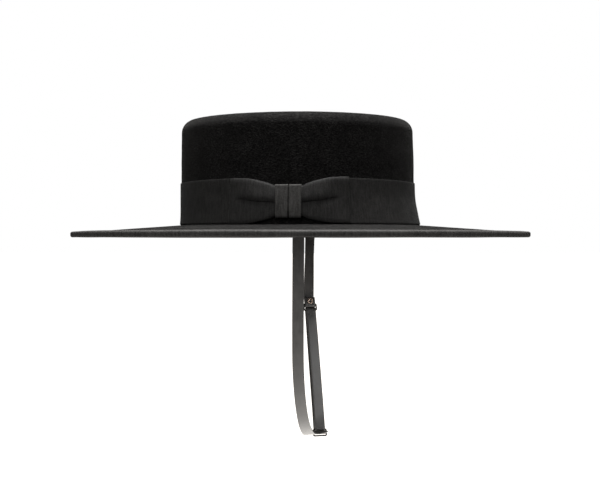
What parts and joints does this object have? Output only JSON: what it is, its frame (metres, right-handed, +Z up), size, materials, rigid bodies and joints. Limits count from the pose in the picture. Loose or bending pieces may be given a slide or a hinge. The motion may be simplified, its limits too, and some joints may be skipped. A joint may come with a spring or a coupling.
{
  "type": "spanish riding hat",
  "caption": "Flat-topped felt hat with a wide stiff brim, ribbon band and side bow, bound rim and a leather chin strap on a two-ring adjuster.",
  "frame": {"origin": "centre of the head opening, level with the brim's underside where the crown rises", "axes": "+X towards the back of the hat, -X the wearer's front, -Y the wearer's left with the bow, +Z up through the crown"},
  "size_m": [0.417, 0.381, 0.2985],
  "materials": {
    "felt": "black fur felt, fine short nap",
    "ribbon": "matte black grosgrain ribbon with fine upright ribs",
    "leather": "smooth black strap leather, satin",
    "wire": "blackened nickel wire, polished",
    "eyelet": "antique copper, satin"
  },
  "bodies": {
    "root": {"felt_body": "felt", "brim_binding": "ribbon", "hat_band": "ribbon", "bow_loop_left": "ribbon", "bow_loop_right": "ribbon", "bow_knot": "ribbon", "strap_long": "leather", "strap_short": "leather", "adjuster_ring": "wire", "adjuster_slide": "wire", "eyelet": "eyelet"}
  },
  "joints": []
}
